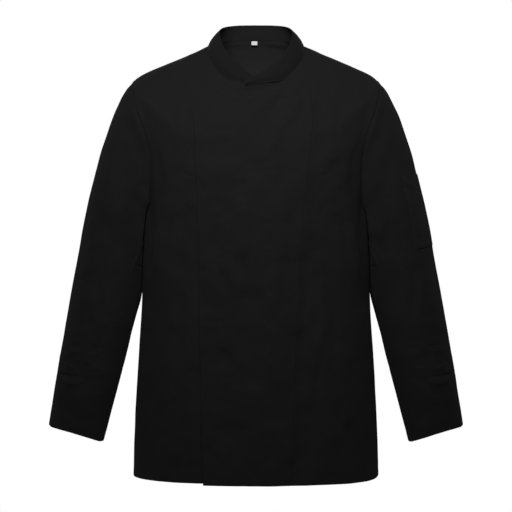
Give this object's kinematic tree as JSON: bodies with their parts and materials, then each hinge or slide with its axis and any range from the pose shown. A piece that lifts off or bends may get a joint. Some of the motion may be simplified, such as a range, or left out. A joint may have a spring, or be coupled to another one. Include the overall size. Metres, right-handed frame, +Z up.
{
  "type": "chef jacket",
  "caption": "Black chef jacket filled out as worn: stand collar with crossing ends, hidden double-breasted closing, long set-in sleeves, deep cuffs and a sleeve pocket.",
  "frame": {"origin": "midway between the two points where the shoulder seams meet the collar, inside the neck, where the wearer's shoulders hold the jacket up", "axes": "+Z up, along the jacket's length from hem to collar. -Y the way the front faces. +X the wearer's left"},
  "size_m": [0.712, 0.2826, 0.7865],
  "materials": {
    "back twill": "matte twill",
    "front right twill": "matte twill",
    "front left twill": "matte twill",
    "collar twill": "matte twill, stiffened",
    "sleeve left twill": "matte twill",
    "sleeve right twill": "matte twill",
    "cuff left twill": "matte twill, doubled",
    "cuff right twill": "matte twill, doubled",
    "sleeve pocket twill": "matte twill",
    "label satin tape": "satin tape"
  },
  "bodies": {
    "root": {"back": "back twill", "front_right": "front right twill", "front_left": "front left twill", "collar": "collar twill", "sleeve_left": "sleeve left twill", "sleeve_right": "sleeve right twill", "cuff_left": "cuff left twill", "cuff_right": "cuff right twill", "sleeve_pocket": "sleeve pocket twill", "neck_label": "label satin tape"}
  },
  "joints": []
}
